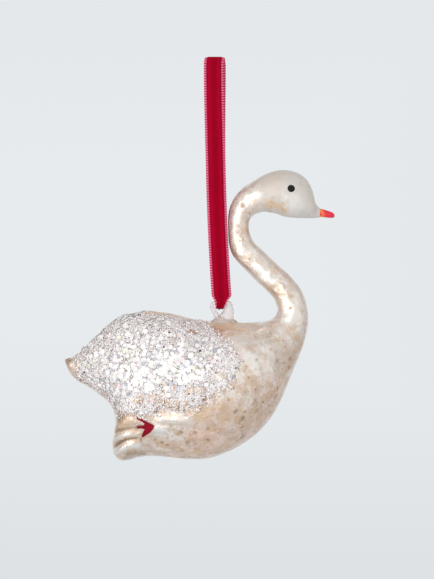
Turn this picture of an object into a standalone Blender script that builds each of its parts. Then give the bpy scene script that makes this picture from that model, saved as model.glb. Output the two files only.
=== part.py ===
"""Swan bauble: a blown, silvered glass swan with glittered wings, hung from a loop of red velvet ribbon.

Metres, +Z up. The swan faces +X and is symmetric about the XZ plane. The origin is the hang point, inside
the top fold of the ribbon.
"""

import math

import bmesh
import bpy
from mathutils import Vector
from mathutils.bvhtree import BVHTree

# Glass body, with the tail at its rear and the breast at its front
BODY_LENGTH = 0.1006
BODY_HEIGHT = 0.0617
BODY_WIDTH = 0.0510

# Wings raised on the glass
WING_FORWARD = 0.0138
WING_HEIGHT = 0.0402
WING_TOP = 0.0018
WING_RELIEF = 0.0014
WING_RAMP = 0.0035

# Neck, head and beak
NECK_RISE = 0.0528
NECK_DIAMETER = 0.0111
HEAD_REACH = 0.0194
HEAD_LENGTH = 0.0280
HEAD_HEIGHT = 0.0197
HEAD_WIDTH = 0.0184
BEAK_LENGTH = 0.0060
BEAK_DEPTH = 0.0036
BEAK_WIDTH = 0.0038
BEAK_DROOP = 0.0012

# Clear glass loop fused to the back
EYE_SPAN = 0.0097
EYE_RISE = 0.0089
EYE_WIRE = 0.0022
EYE_FOOT = 0.0112
EYE_FOOT_RISE = 0.0034
EYE_SET_BACK = 0.0008
EYE_LEAN = math.radians(11)

# Velvet ribbon, threaded through the loop and lapped on its back strand
RIBBON_WIDTH = 0.0080
RIBBON_THICKNESS = 0.0009
RIBBON_DROP = 0.1020
RIBBON_FOLD = 0.0020
RIBBON_BOW = 0.0006
RIBBON_LEAN = 0.0030
RIBBON_SKEW = 0.0009
PINCH_WIDTH = 0.0046
PINCH_THICKNESS = 0.0013
PINCH_LENGTH = 0.0034
PINCH_SET_BACK = 0.0004
BEND_WIDTH = 0.0030
BEND_SET_BACK = 0.0007
LAP_LENGTH = 0.0120
LAP_ABOVE_EYE = 0.0080
LAP_STEP = 0.0010

# Paint, glue and glitter on the glass
COAT_THICKNESS = 0.0005
COAT_OVER_BACK = 0.0040
COAT_BELOW_BACK = 0.0010
COAT_INSET = 0.0014
COAT_EYE_GAP = 0.0030
PAINT_THICKNESS = 0.00035
DOT_DIAMETER = 0.0030
FOOT_LENGTH = 0.0076
FOOT_SPREAD = 0.0080
FOOT_WING_GAP = 0.0006

# Gaps between pieces that touch
FIT_GAP = 0.0003
RIBBON_NECK_GAP = 0.0003

# Fineness of the surfaces
AROUND = 32
BEAK_AROUND = 16
RING_STEP = 0.0038
STRAND_STEPS = 30
BEND_STEPS = 6
LOOP_STEPS = 3
DOT_STEPS = 20
SHARP_ANGLE = math.radians(50)

# Shares that shape the ribbon and the glass loop: where down the drop the strands come level, how fast the
# drop drifts forward, and how thin the loop's foot is across
SKEW_SHARE = 0.45
DRIFT = 2.5
FOOT_THIN = 0.6

# Middle line of the glass loop from its thin rear leg to its thick front leg: forward of the foot in
# hundredths of the loop's span, over the back in hundredths of its rise, and the thickness in wires
LOOP_ROUTE = (
    (-29, 11, 1.2),
    (-43, 34.5, 0.95),
    (-54.5, 54.5, 0.85),
    (-57.5, 74, 0.8),
    (-48.5, 84, 0.85),
    (-28.5, 86, 0.95),
    (-5, 86.5, 1),
    (11, 81, 1.25),
    (11.5, 61.5, 1.8),
    (10, 39, 2.3),
    (1, 15.5, 2.6),
)

# Body sections from tail to breast: back point and belly point, measured from the foot of the glass loop
# in hundredths of the body's length and height, then the width in hundredths of the body's width
BODY_SECTIONS = (
    (-66, -25.5, -65.5, -28.5, 5.5),
    (-65, -24.5, -64.5, -33.5, 11),
    (-63, -24, -62.5, -37.5, 15.5),
    (-61, -23, -60.5, -40, 20.5),
    (-58, -18, -57, -43, 30),
    (-53.5, -11.5, -53.5, -47, 41.5),
    (-49, -4, -49.5, -52, 53.5),
    (-45, 1, -46.5, -57.5, 62.5),
    (-41.5, 3.5, -45.5, -63.5, 68.5),
    (-38.5, 5, -45, -70, 72),
    (-35.5, 6, -46, -77, 75.5),
    (-33, 7, -46.5, -83.5, 77.5),
    (-30.5, 7.5, -46, -89, 79.5),
    (-28.5, 7, -44, -93, 82),
    (-25.5, 6.5, -40, -93, 85),
    (-22, 5.5, -35.5, -91, 88),
    (-18.5, 4, -30, -90, 92.5),
    (-14, 2, -23, -91, 97.5),
    (-9, 0.5, -16, -92.5, 100),
    (-4, 0, -8.5, -92, 100),
    (1, 0, -1, -89, 99),
    (5.5, -0.5, 5.5, -83.5, 95.5),
    (9.5, -0.5, 12.5, -75.5, 89.5),
    (13, 0, 18, -66, 78),
    (16, 0.5, 22.5, -53.5, 64.5),
    (18.5, 1.5, 26, -40, 50.5),
    (20, 3, 29.5, -25.5, 39),
    (21, 5.5, 32.5, -12.5, 31),
    (21.5, 8.5, 34, 0, 26.5),
)
TAIL_ROOT = 3
RUMP = 7
SADDLE_FRONT = 11
NECK_ROOT = (28, 4)

# Neck from its root to the waist behind the ribbon, then on to the head: the share of the way forward or
# back, the share of the rise, and the share of the neck's diameter
LOWER_NECK = (
    (0.06, 0.16, 1.1),
    (0.16, 0.24, 1.04),
    (0.3, 0.31, 1.01),
    (0.46, 0.37, 1),
    (0.61, 0.43, 1),
    (0.77, 0.5, 0.99),
    (0.9, 0.56, 0.95),
    (0.97, 0.64, 0.86),
    (1, 0.72, 0.76),
)
UPPER_NECK = ((0.01, 0.8, 0.79), (0.06, 0.865, 0.93), (0.185, 0.925, 1.07))
ROOT_SHARE = 1.2
WAIST_RISE = LOWER_NECK[-1][1]
WAIST_SHARE = LOWER_NECK[-1][2]

# Head sections: crown point and throat point, measured from the head's middle in hundredths of its length
# and height, then the width in hundredths of its width
HEAD_SECTIONS = (
    (-54, 20.5, -32, -38.5, 71.5),
    (-35.5, 36.5, -24, -40.5, 83.5),
    (-18, 46.5, -12, -43, 94.5),
    (0, 50, 0, -50, 100),
    (13, 46.5, 12.5, -51.5, 98),
    (23.5, 39.5, 23, -52, 90),
    (32.5, 28.5, 31.5, -52, 78.5),
    (39, 12.5, 38, -52, 63),
    (42.5, -5, 42.5, -51.5, 48),
    (44, -19, 45.5, -51, 35),
    (47, -26.5, 48, -50.5, 26),
)
BEAK_ROOT = (51, -40.5)
BEAK_TAPER = (
    (0, 1, 1),
    (0.35, 0.88, 0.9),
    (0.7, 0.76, 0.8),
    (0.88, 0.64, 0.66),
    (0.97, 0.42, 0.44),
    (1, 0.2, 0.2),
)
DOT_PLACE = (8, 9.5)

# Free edge of the wing from its corner on the back, round the front, to the rump: the share of the way
# from the rump to the leading edge, and the share of the wing's height below the corner
WING_EDGE = (
    (0.73, 0.04), (0.78, 0.1), (0.86, 0.2), (0.94, 0.31), (1, 0.42), (1, 0.54),
    (0.93, 0.67), (0.83, 0.75), (0.74, 0.85), (0.65, 0.92), (0.54, 0.94), (0.43, 0.93),
    (0.32, 0.97), (0.21, 1), (0.12, 1), (0.04, 0.95),
)

# Webbed foot, drawn from its heel with the toes to the rear, in shares of its length and its spread
FOOT_OUTLINE = (
    (0, 0), (0.03, -0.07), (0.17, -0.23), (0.42, -0.42), (0.62, -0.57), (0.71, -0.54), (0.64, -0.33),
    (0.53, -0.12), (0.73, -0.1), (0.96, -0.14), (0.99, -0.06), (0.73, 0.01), (0.57, 0.07), (0.52, 0.15),
    (0.73, 0.27), (0.98, 0.38), (0.95, 0.46), (0.73, 0.38), (0.49, 0.28), (0.37, 0.21), (0.15, 0.13),
    (0.03, 0.05),
)
FOOT_HEEL = -0.29
FOOT_GRID = 0.0018

# Colours with roughness and metallic value
FINISHES = {
    "pearl_glass": ((0.80, 0.72, 0.66), 0.28, 0.55),
    "clear_glass": ((0.88, 0.86, 0.86), 0.10, 0.0),
    "red_velvet": ((0.33, 0.004, 0.02), 0.90, 0.0),
    "white_glitter": ((0.82, 0.80, 0.82), 0.35, 0.3),
    "black_paint": ((0.01, 0.01, 0.01), 0.25, 0.0),
    "coral_paint": ((0.80, 0.04, 0.05), 0.30, 0.0),
    "crimson_paint": ((0.42, 0.005, 0.02), 0.45, 0.0),
}


def clear_scene():
    for obj in list(bpy.data.objects):
        bpy.data.objects.remove(obj, do_unlink=True)


def collection(name):
    made = bpy.data.collections.new(name)
    bpy.context.scene.collection.children.link(made)
    return made


def finish(name):
    """The named material, made once."""
    if name not in bpy.data.materials:
        colour, roughness, metallic = FINISHES[name]
        material = bpy.data.materials.new(name)
        material.use_nodes = True
        shader = material.node_tree.nodes["Principled BSDF"]
        shader.inputs["Base Color"].default_value = (*colour, 1)
        shader.inputs["Roughness"].default_value = roughness
        shader.inputs["Metallic"].default_value = metallic
        material.diffuse_color = (*colour, 1)
    return bpy.data.materials[name]


def face_outwards(bm):
    bmesh.ops.recalc_face_normals(bm, faces=bm.faces)
    if bm.calc_volume(signed=True) < 0:
        bmesh.ops.reverse_faces(bm, faces=bm.faces)


def mesh_object(name, bm, home, material=None):
    """An object made of the bmesh, shaded smooth apart from its sharp edges."""
    face_outwards(bm)
    mesh = bpy.data.meshes.new(name)
    bm.to_mesh(mesh)
    bm.free()
    mesh.shade_smooth()
    mesh.set_sharp_from_angle(angle=SHARP_ANGLE)
    obj = bpy.data.objects.new(name, mesh)
    home.objects.link(obj)
    if material:
        mesh.materials.append(finish(material))
    return obj


def cutter(obj):
    obj.hide_render = True
    obj.display_type = "WIRE"
    return obj


def boolean(obj, operation, other):
    modifier = obj.modifiers.new(f"{operation.lower()} {other.name}", "BOOLEAN")
    modifier.operation = operation
    modifier.solver = "EXACT"
    modifier.object = other


def ease(value):
    """A soft step from 0 to 1."""
    value = min(max(value, 0.0), 1.0)
    return value * value * (3 - 2 * value)


def spacing(a, b):
    """How far apart two rows lie: the longest move of any of their (x, z) points."""
    return max(math.dist(a[i : i + 2], b[i : i + 2]) for i in range(0, len(a) - 1, 2))


def smooth_rows(rows, step):
    """Rows on a smooth curve through the given rows, about step apart."""
    knots = [0.0]
    for a, b in zip(rows, rows[1:]):
        knots.append(knots[-1] + math.sqrt(spacing(a, b)))
    last = len(rows) - 1

    def slope(i, k):
        before, after = max(i - 1, 0), min(i + 1, last)
        if before == i or after == i:
            return (rows[after][k] - rows[before][k]) / (knots[after] - knots[before])
        left = (rows[i][k] - rows[before][k]) / (knots[i] - knots[before])
        right = (rows[after][k] - rows[i][k]) / (knots[after] - knots[i])
        share = (knots[i] - knots[before]) / (knots[after] - knots[before])
        return left * (1 - share) + right * share

    out = []
    for i in range(last):
        gap = knots[i + 1] - knots[i]
        count = max(1, math.ceil(spacing(rows[i], rows[i + 1]) / step))
        for j in range(count):
            t = j / count
            rise, fall = t * t * (3 - 2 * t), t * (1 - t) ** 2
            pull = t * t * (t - 1)
            out.append(
                tuple(
                    rows[i][k] * (1 - rise)
                    + rows[i + 1][k] * rise
                    + gap * (fall * slope(i, k) + pull * slope(i + 1, k))
                    for k in range(len(rows[i]))
                )
            )
    out.append(tuple(rows[last]))
    return out


def loft(rings):
    """A closed surface through rings of equal count, with a pole at each end."""
    bm = bmesh.new()
    loops = [[bm.verts.new(point) for point in ring] for ring in rings]
    count = len(loops[0])
    for a, b in zip(loops, loops[1:]):
        for k in range(count):
            n = (k + 1) % count
            bm.faces.new((a[k], a[n], b[n], b[k]))
    for loop in (loops[0], loops[-1]):
        pole = bm.verts.new(sum((v.co for v in loop), Vector()) / count)
        for k in range(count):
            bm.faces.new((pole, loop[k], loop[(k + 1) % count]))
    return bm


def oval(row, around=AROUND):
    """A ring across the XZ plane, from (back x, back z, belly x, belly z, half width)."""
    back, belly, half_width = Vector((row[0], 0, row[1])), Vector((row[2], 0, row[3])), row[4]
    middle, half = (back + belly) / 2, (back - belly) / 2
    turns = (2 * math.pi * k / around for k in range(around))
    return [middle + half * math.cos(t) + Vector((0, half_width * math.sin(t), 0)) for t in turns]


def eye_wire_centre():
    """Middle of the wire at the top of the glass loop, which the ribbon passes under."""
    return Vector((RIBBON_LEAN, 0, -RIBBON_DROP + EYE_WIRE / 2 + FIT_GAP))


def eye_foot():
    """Where the middle of the glass loop's foot stands on the swan's back."""
    height = EYE_RISE - EYE_WIRE / 2
    lean = Vector((math.sin(EYE_LEAN), 0, -math.cos(EYE_LEAN)))
    return eye_wire_centre() + height * lean


def on_body(x, z):
    """A place on the body in hundredths of its length and height."""
    foot = eye_foot()
    return foot.x + x / 100 * BODY_LENGTH, foot.z + z / 100 * BODY_HEIGHT


def body_rows():
    rows = []
    for back_x, back_z, belly_x, belly_z, width in BODY_SECTIONS:
        rows.append((*on_body(back_x, back_z), *on_body(belly_x, belly_z), width / 200 * BODY_WIDTH))
    return rows


def ribbon_lean(share):
    """How far the ribbon has drifted forward at a share of its drop."""
    return RIBBON_LEAN * share**DRIFT


def waist():
    """Middle of the neck at its thinnest, where its back stands just clear of the ribbon's edge."""
    z = eye_foot().z + WAIST_RISE * NECK_RISE
    edge = ribbon_lean(-z / RIBBON_DROP) + RIBBON_WIDTH / 2
    return edge + RIBBON_NECK_GAP + WAIST_SHARE * NECK_DIAMETER / 2, z


def head_middle():
    return waist()[0] + HEAD_REACH, eye_foot().z + NECK_RISE


def neck_rows():
    """Rows square to the neck's middle line, from its root to the back of the head."""
    root_x, _ = on_body(*NECK_ROOT)
    waist_x, _ = waist()
    base = eye_foot().z
    line = [(root_x, base, ROOT_SHARE)]
    for back, up, share in LOWER_NECK:
        line.append((root_x + back * (waist_x - root_x), base + up * NECK_RISE, share))
    for forward, up, share in UPPER_NECK:
        line.append((waist_x + forward * HEAD_REACH, base + up * NECK_RISE, share))
    first = head_rows()[0]
    line.append(((first[0] + first[2]) / 2, (first[1] + first[3]) / 2, 1))
    rows = []
    for before, here, after in zip(line, line[1:], line[2:]):
        along = Vector((after[0] - before[0], after[1] - before[1])).normalized()
        radius = here[2] * NECK_DIAMETER / 2
        across = Vector((-along.y, along.x)) * radius
        rows.append((here[0] + across.x, here[1] + across.y, here[0] - across.x, here[1] - across.y, radius))
    return rows


def head_rows():
    x, z = head_middle()
    rows = []
    for crown_x, crown_z, throat_x, throat_z, width in HEAD_SECTIONS:
        rows.append(
            (
                x + crown_x / 100 * HEAD_LENGTH,
                z + crown_z / 100 * HEAD_HEIGHT,
                x + throat_x / 100 * HEAD_LENGTH,
                z + throat_z / 100 * HEAD_HEIGHT,
                width / 200 * HEAD_WIDTH,
            )
        )
    return rows


def beak_rows(inset, start=0.0):
    """Rows along the beak from a distance past its root, drawn in all round by the inset."""
    x, z = head_middle()
    x += BEAK_ROOT[0] / 100 * HEAD_LENGTH
    z += BEAK_ROOT[1] / 100 * HEAD_HEIGHT
    rows = []
    for along, depth, width in BEAK_TAPER:
        middle = x + start + along * (BEAK_LENGTH - inset - start)
        half = max(depth * BEAK_DEPTH / 2 - inset, BEAK_DEPTH / 20)
        half_width = max(width * BEAK_WIDTH / 2 - inset, BEAK_WIDTH / 20)
        droop = z - BEAK_DROOP * along
        rows.append((middle, droop + half, middle, droop - half, half_width))
    return rows


def wing_outline():
    """The glittered wing seen from the side: over the back, round the free edge and under the tail."""
    rows = body_rows()
    rump = rows[RUMP]
    corner = Vector((eye_foot().x - EYE_FOOT / 2 - COAT_EYE_GAP, eye_foot().z + WING_TOP))
    front = corner.x + WING_FORWARD
    edge = [(rump[2] + share * (front - rump[2]), corner.y - down * WING_HEIGHT) for share, down in WING_EDGE]
    tail = []
    for back_x, back_z, belly_x, belly_z, _ in reversed(rows[TAIL_ROOT : RUMP + 1]):
        up = Vector((back_x - belly_x, back_z - belly_z)).normalized() * COAT_INSET
        tail.append((belly_x + up.x, belly_z + up.y))
    over = [(row[0], row[1] + COAT_OVER_BACK) for row in rows[TAIL_ROOT:SADDLE_FRONT]]
    saddle = [row for row in rows[SADDLE_FRONT:] if row[0] < corner.x - COAT_INSET]
    below = [(row[0], row[1] - COAT_BELOW_BACK) for row in saddle]
    return smooth_rows(edge + tail, RING_STEP) + over + below


def distance_inside(outline, x, z):
    """Distance from a point to a closed outline, negative outside it."""
    nearest, inside = math.inf, False
    for (ax, az), (bx, bz) in zip(outline, outline[1:] + outline[:1]):
        dx, dz = bx - ax, bz - az
        share = ((x - ax) * dx + (z - az) * dz) / max(dx * dx + dz * dz, 1e-18)
        share = min(max(share, 0.0), 1.0)
        nearest = min(nearest, math.hypot(x - ax - share * dx, z - az - share * dz))
        if (az > z) != (bz > z) and x < ax + (z - az) / (bz - az) * dx:
            inside = not inside
    return nearest if inside else -nearest


def raise_wings(bm, outline):
    """Pushes the glass out sideways under each wing, with a soft step at its edge."""
    for vert in bm.verts:
        depth = distance_inside(outline, vert.co.x, vert.co.z)
        if depth > 0 and abs(vert.co.y) > 0:
            side = vert.co.y / (BODY_WIDTH / 2)
            lift = WING_RELIEF * ease(depth / WING_RAMP) * ease(abs(side) * 2)
            vert.co.y += math.copysign(lift, side)


def swan_surface(outline):
    """The whole glass swan as one closed surface, in triangles so that its grown copies fold alike."""
    skin = PAINT_THICKNESS + FIT_GAP
    rows = smooth_rows(body_rows() + neck_rows() + head_rows() + beak_rows(0)[:1], RING_STEP)
    core = smooth_rows(beak_rows(skin, FIT_GAP), RING_STEP / 2)
    bm = loft([oval(row) for row in rows + core])
    raise_wings(bm, outline)
    bmesh.ops.triangulate(bm, faces=bm.faces)
    face_outwards(bm)
    return bm


def grown(bm_source, distance):
    """A copy of a surface pushed out along its normals."""
    bm = bm_source.copy()
    bm.normal_update()
    moves = [vert.normal * distance for vert in bm.verts]
    for vert, move in zip(bm.verts, moves):
        vert.co += move
    return bm


def wing_prism(outline):
    """The wing's side view, extruded right through the swan."""
    bm = bmesh.new()
    side = [bm.verts.new((x, -BODY_WIDTH, z)) for x, z in outline]
    face = bm.faces.new(side)
    made = bmesh.ops.extrude_face_region(bm, geom=[face])
    moved = [item for item in made["geom"] if isinstance(item, bmesh.types.BMVert)]
    bmesh.ops.translate(bm, verts=moved, vec=(0, 2 * BODY_WIDTH, 0))
    bmesh.ops.triangulate(bm, faces=[f for f in bm.faces if len(f.verts) > 4])
    return bm


def laid_on_glass(bm, glass, side):
    """Lays a flat plate on the glass: its inner face a fit gap off the surface, its outer face a coat above.

    The plate is drawn in the XZ plane, with y at 0 on its inner face and above 0 on its outer face.
    """
    for vert in bm.verts:
        off = FIT_GAP + (PAINT_THICKNESS if vert.co.y > 0 else 0.0)
        start = Vector((vert.co.x, side * BODY_WIDTH, vert.co.z))
        place, normal, _, _ = glass.ray_cast(start, Vector((0, -side, 0)))
        vert.co = place + normal * off
    return bm


def plate(outline):
    """A flat plate with the outline, standing in the XZ plane."""
    bm = bmesh.new()
    face = bm.faces.new([bm.verts.new((x, 0, z)) for x, z in outline])
    made = bmesh.ops.extrude_face_region(bm, geom=[face])
    moved = [item for item in made["geom"] if isinstance(item, bmesh.types.BMVert)]
    bmesh.ops.translate(bm, verts=moved, vec=(0, PAINT_THICKNESS, 0))
    bmesh.ops.triangulate(bm, faces=bm.faces)
    return bm


def cut_in_strips(bm, step):
    """Cuts a plate on a square grid, so that it can bend over the glass."""
    for axis in (0, 2):
        low = min(vert.co[axis] for vert in bm.verts)
        high = max(vert.co[axis] for vert in bm.verts)
        normal = Vector((axis == 0, 0, axis == 2))
        for k in range(1, math.ceil((high - low) / step)):
            geometry = bm.verts[:] + bm.edges[:] + bm.faces[:]
            place = normal * (low + k * step)
            bmesh.ops.bisect_plane(bm, geom=geometry, dist=step / 20, plane_co=place, plane_no=normal)


def make_glitter(parts, cutters, surface, under, outline):
    """Glitter coat over both wings and the back between them."""
    coat = mesh_object("glitter_coat", grown(surface, FIT_GAP + COAT_THICKNESS), parts, "white_glitter")
    prism = cutter(mesh_object("wing_prism", wing_prism(outline), cutters))
    boolean(coat, "INTERSECT", prism)
    boolean(coat, "DIFFERENCE", under)


def make_beak_paint(parts):
    """Cap of paint over the beak: up its outside to the tip, and back along its inside."""
    outer = smooth_rows(beak_rows(0, FIT_GAP), RING_STEP / 2)
    inner = smooth_rows(beak_rows(PAINT_THICKNESS, FIT_GAP), RING_STEP / 2)
    rings = [oval(row, BEAK_AROUND) for row in reversed(inner)] + [oval(row, BEAK_AROUND) for row in outer]
    mesh_object("beak_paint", loft(rings), parts, "coral_paint")


def make_eye_dot(parts, glass, side, name):
    x, z = head_middle()
    x += DOT_PLACE[0] / 100 * HEAD_LENGTH
    z += DOT_PLACE[1] / 100 * HEAD_HEIGHT
    turns = [2 * math.pi * k / DOT_STEPS for k in range(DOT_STEPS)]
    round_outline = [(x + DOT_DIAMETER / 2 * math.cos(t), z + DOT_DIAMETER / 2 * math.sin(t)) for t in turns]
    mesh_object(name, laid_on_glass(plate(round_outline), glass, side), parts, "black_paint")


def make_foot_paint(parts, glass, side, name, outline):
    """Painted foot, with its top toe just under the wing's lower edge."""
    heel_x = eye_foot().x + FOOT_HEEL * BODY_LENGTH
    top = max(share for _, share in FOOT_OUTLINE) * FOOT_SPREAD
    heel_z = min(z for _, z in outline) - FOOT_WING_GAP - top
    shape = [(heel_x - back * FOOT_LENGTH, heel_z + up * FOOT_SPREAD) for back, up in FOOT_OUTLINE]
    bm = plate(shape)
    cut_in_strips(bm, FOOT_GRID)
    mesh_object(name, laid_on_glass(bm, glass, side), parts, "crimson_paint")


def make_hanging_eye(parts, cutters, under):
    """Loop of glass wire, thicker down its front leg, on a flared foot that follows the swan's back."""
    foot = eye_foot()
    curve = bpy.data.curves.new("eye_wire", "CURVE")
    curve.dimensions = "3D"
    curve.bevel_depth = EYE_WIRE / 2
    curve.bevel_resolution = 3
    curve.resolution_u = LOOP_STEPS
    curve.use_fill_caps = True
    spline = curve.splines.new("BEZIER")
    spline.bezier_points.add(len(LOOP_ROUTE) - 1)
    for point, (forward, up, wires) in zip(spline.bezier_points, LOOP_ROUTE):
        point.co = foot + Vector((forward * EYE_SPAN, 0, up * EYE_RISE)) / 100
        point.handle_left_type = point.handle_right_type = "AUTO"
        point.radius = wires
    wire = bpy.data.objects.new("eye_wire", curve)
    parts.objects.link(wire)
    bpy.context.view_layer.update()
    graph = bpy.context.evaluated_depsgraph_get()
    mesh = bpy.data.meshes.new_from_object(wire.evaluated_get(graph))
    bpy.data.objects.remove(wire)
    bm = bmesh.new()
    bm.from_mesh(mesh)
    bmesh.ops.remove_doubles(bm, verts=bm.verts, dist=1e-6)
    eye = mesh_object("hanging_eye", bm, parts, "clear_glass")
    mound = cutter(mesh_object("eye_mound", eye_mound(), cutters))
    boolean(eye, "UNION", mound)
    boolean(eye, "DIFFERENCE", under)


def eye_mound():
    """Flared foot of the loop, thinner across than along the swan."""
    profile = ((1, -0.5), (1, 0), (0.82, 0.28), (0.68, 0.62), (0.5, 0.9), (0.2, 1))
    middle = eye_foot() - Vector((EYE_SET_BACK, 0, 0))
    rings = []
    for share, up in profile:
        turns = (2 * math.pi * k / DOT_STEPS for k in range(DOT_STEPS))
        half = share * EYE_FOOT / 2
        height = up * EYE_FOOT_RISE
        rings.append(
            [middle + Vector((half * math.cos(t), FOOT_THIN * half * math.sin(t), height)) for t in turns]
        )
    return loft(rings)


def strand(share, side):
    """Ribbon section at a share of the drop on the front (-1) or back (1) strand."""
    eye_bend = EYE_WIRE / 2 + FIT_GAP
    above_eye = (1 - share) * RIBBON_DROP
    pinch = 1 - ease(above_eye / PINCH_LENGTH)
    thickness = RIBBON_THICKNESS + pinch * (PINCH_THICKNESS - RIBBON_THICKNESS)
    inner = RIBBON_FOLD + share * (eye_bend - RIBBON_FOLD) + RIBBON_BOW * math.sin(math.pi * share)
    skew = side * RIBBON_SKEW / 2 * (1 - ease(share / SKEW_SHARE))
    lap = 0.0
    if side > 0:
        past = above_eye - LAP_ABOVE_EYE
        lap = RIBBON_THICKNESS * min(ease(past / LAP_STEP), ease((LAP_LENGTH - past) / LAP_STEP))
    forward = ribbon_lean(share) + skew - pinch * PINCH_SET_BACK
    top = -RIBBON_FOLD
    bottom = eye_wire_centre().z
    return {
        "middle": Vector((forward, 0, top + share * (bottom - top))),
        "out": Vector((0, side, 0)),
        "inner": inner,
        "thickness": thickness + lap,
        "half_width": (RIBBON_WIDTH + pinch * (PINCH_WIDTH - RIBBON_WIDTH)) / 2,
    }


def bend(start, end, down):
    """Ribbon sections round a half turn from one strand's end to the other's."""
    rows = []
    for k in range(1, BEND_STEPS):
        t = math.pi * k / BEND_STEPS
        share = k / BEND_STEPS
        row = dict(start)
        row["middle"] = start["middle"].lerp(end["middle"], share)
        row["out"] = start["out"] * math.cos(t) + Vector((0, 0, -1 if down else 1)) * math.sin(t)
        if down:
            row["half_width"] += math.sin(t) * (BEND_WIDTH - PINCH_WIDTH) / 2
            row["middle"] = row["middle"] - Vector((math.sin(t) * BEND_SET_BACK, 0, 0))
        rows.append(row)
    return rows


def ribbon_rows():
    """Sections once round the ribbon: up the back strand, over the top fold, down the front and through."""
    shares = [(1 - math.cos(math.pi * k / STRAND_STEPS)) / 2 for k in range(STRAND_STEPS + 1)]
    back = [strand(share, 1) for share in reversed(shares)]
    front = [strand(share, -1) for share in shares]
    return back + bend(back[-1], front[0], False) + front + bend(front[-1], back[0], True)


def make_ribbon(parts):
    """Closed loop of ribbon, a flat strip swept along its route."""
    bm = bmesh.new()
    loops = []
    for row in ribbon_rows():
        inner = row["middle"] + row["out"] * row["inner"]
        outer = inner + row["out"] * row["thickness"]
        across = Vector((row["half_width"], 0, 0))
        corners = (inner - across, inner + across, outer + across, outer - across)
        loops.append([bm.verts.new(point) for point in corners])
    for a, b in zip(loops, loops[1:] + loops[:1]):
        for k in range(4):
            n = (k + 1) % 4
            bm.faces.new((a[k], a[n], b[n], b[k]))
    mesh_object("velvet_ribbon", bm, parts, "red_velvet")


def main():
    clear_scene()
    parts = collection("swan_bauble")
    cutters = collection("cutters")
    outline = wing_outline()
    surface = swan_surface(outline)
    glass = BVHTree.FromBMesh(surface)
    under = cutter(mesh_object("glass_clearance", grown(surface, FIT_GAP), cutters))
    make_glitter(parts, cutters, surface, under, outline)
    make_hanging_eye(parts, cutters, under)
    make_ribbon(parts)
    make_beak_paint(parts)
    for side, name in ((-1, "right"), (1, "left")):
        make_eye_dot(parts, glass, side, f"eye_dot_{name}")
        make_foot_paint(parts, glass, side, f"foot_paint_{name}", outline)
    mesh_object("swan_glass", surface, parts, "pearl_glass")


main()
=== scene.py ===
"""Swan bauble, dressed: silvered pearl glass, glittered wings, a clear glass loop and a velvet ribbon.

Metres, +Z up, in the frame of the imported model: the swan faces +X and hangs from the origin.
"""

import functools
import math

import bmesh
import bpy
import numpy as np
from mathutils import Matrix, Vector, noise
from mathutils.bvhtree import BVHTree
from mathutils.kdtree import KDTree


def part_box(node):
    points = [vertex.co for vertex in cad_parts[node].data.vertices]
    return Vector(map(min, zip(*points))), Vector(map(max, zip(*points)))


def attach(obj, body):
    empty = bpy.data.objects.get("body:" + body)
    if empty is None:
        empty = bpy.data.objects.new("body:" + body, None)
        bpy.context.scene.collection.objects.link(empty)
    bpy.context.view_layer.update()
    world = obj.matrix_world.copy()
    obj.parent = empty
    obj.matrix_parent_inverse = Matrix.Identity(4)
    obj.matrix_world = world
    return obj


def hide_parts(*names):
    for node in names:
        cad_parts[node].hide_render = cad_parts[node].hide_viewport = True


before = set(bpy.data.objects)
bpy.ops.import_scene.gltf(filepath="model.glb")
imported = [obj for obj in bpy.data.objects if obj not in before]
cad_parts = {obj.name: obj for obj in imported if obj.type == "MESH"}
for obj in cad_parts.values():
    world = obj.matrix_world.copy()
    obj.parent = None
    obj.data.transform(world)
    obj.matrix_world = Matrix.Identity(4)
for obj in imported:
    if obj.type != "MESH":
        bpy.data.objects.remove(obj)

bl_info = {
    "name": "Swan Bauble",
    "version": (1, 0, 0),
    "blender": (4, 5, 0),
    "location": "3D View > Sidebar > Swan Bauble",
    "description": "Builds a blown glass swan bauble with glittered wings on a velvet ribbon",
    "category": "Object",
}

# The noise of vectors is seeded from the clock unless it is given a seed
NOISE_SEED = 7
noise.seed_set(NOISE_SEED)

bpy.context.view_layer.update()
BODY = "root"

# Route of the ribbon, as in the part's source
RIBBON_WIDTH = 0.0080
RIBBON_THICKNESS = 0.0009
RIBBON_DROP = 0.1020
RIBBON_FOLD = 0.0020
RIBBON_BOW = 0.0006
RIBBON_LEAN = 0.0030
RIBBON_SKEW = 0.0009
PINCH_WIDTH = 0.0046
PINCH_THICKNESS = 0.0013
PINCH_LENGTH = 0.0034
PINCH_SET_BACK = 0.0004
BEND_WIDTH = 0.0030
BEND_SET_BACK = 0.0007
LAP_LENGTH = 0.0120
LAP_ABOVE_EYE = 0.0080
LAP_STEP = 0.0010
SKEW_SHARE = 0.45
DRIFT = 2.5
EYE_WIRE = 0.0022
EYE_SPAN = 0.0097
EYE_RISE = 0.0089
EYE_FOOT = 0.0112
EYE_FOOT_RISE = 0.0034
FOOT_THIN = 0.6
EYE_SET_BACK = 0.0008
EYE_LEAN = math.radians(11)
FIT_GAP = 0.0003

# Middle line of the glass loop, as in the part's source: forward of the foot in hundredths of the loop's
# span, over the back in hundredths of its rise, and the thickness in wires
LOOP_ROUTE = (
    (-29, 11, 1.2),
    (-43, 34.5, 0.95),
    (-54.5, 54.5, 0.85),
    (-57.5, 74, 0.8),
    (-48.5, 84, 0.85),
    (-28.5, 86, 0.95),
    (-5, 86.5, 1),
    (11, 81, 1.25),
    (11.5, 61.5, 1.8),
    (10, 39, 2.3),
    (1, 15.5, 2.6),
)


def colour_property(name, description, *default):
    return bpy.props.FloatVectorProperty(name=name, description=description, subtype="COLOR", default=default)


def length_property(name, description, default):
    return bpy.props.FloatProperty(name=name, description=description, unit="LENGTH", default=default)


def power_property(name, description, default):
    return bpy.props.FloatProperty(name=name, description=description, unit="POWER", default=default)


def count_property(name, description, default):
    return bpy.props.IntProperty(name=name, description=description, default=default)


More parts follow.
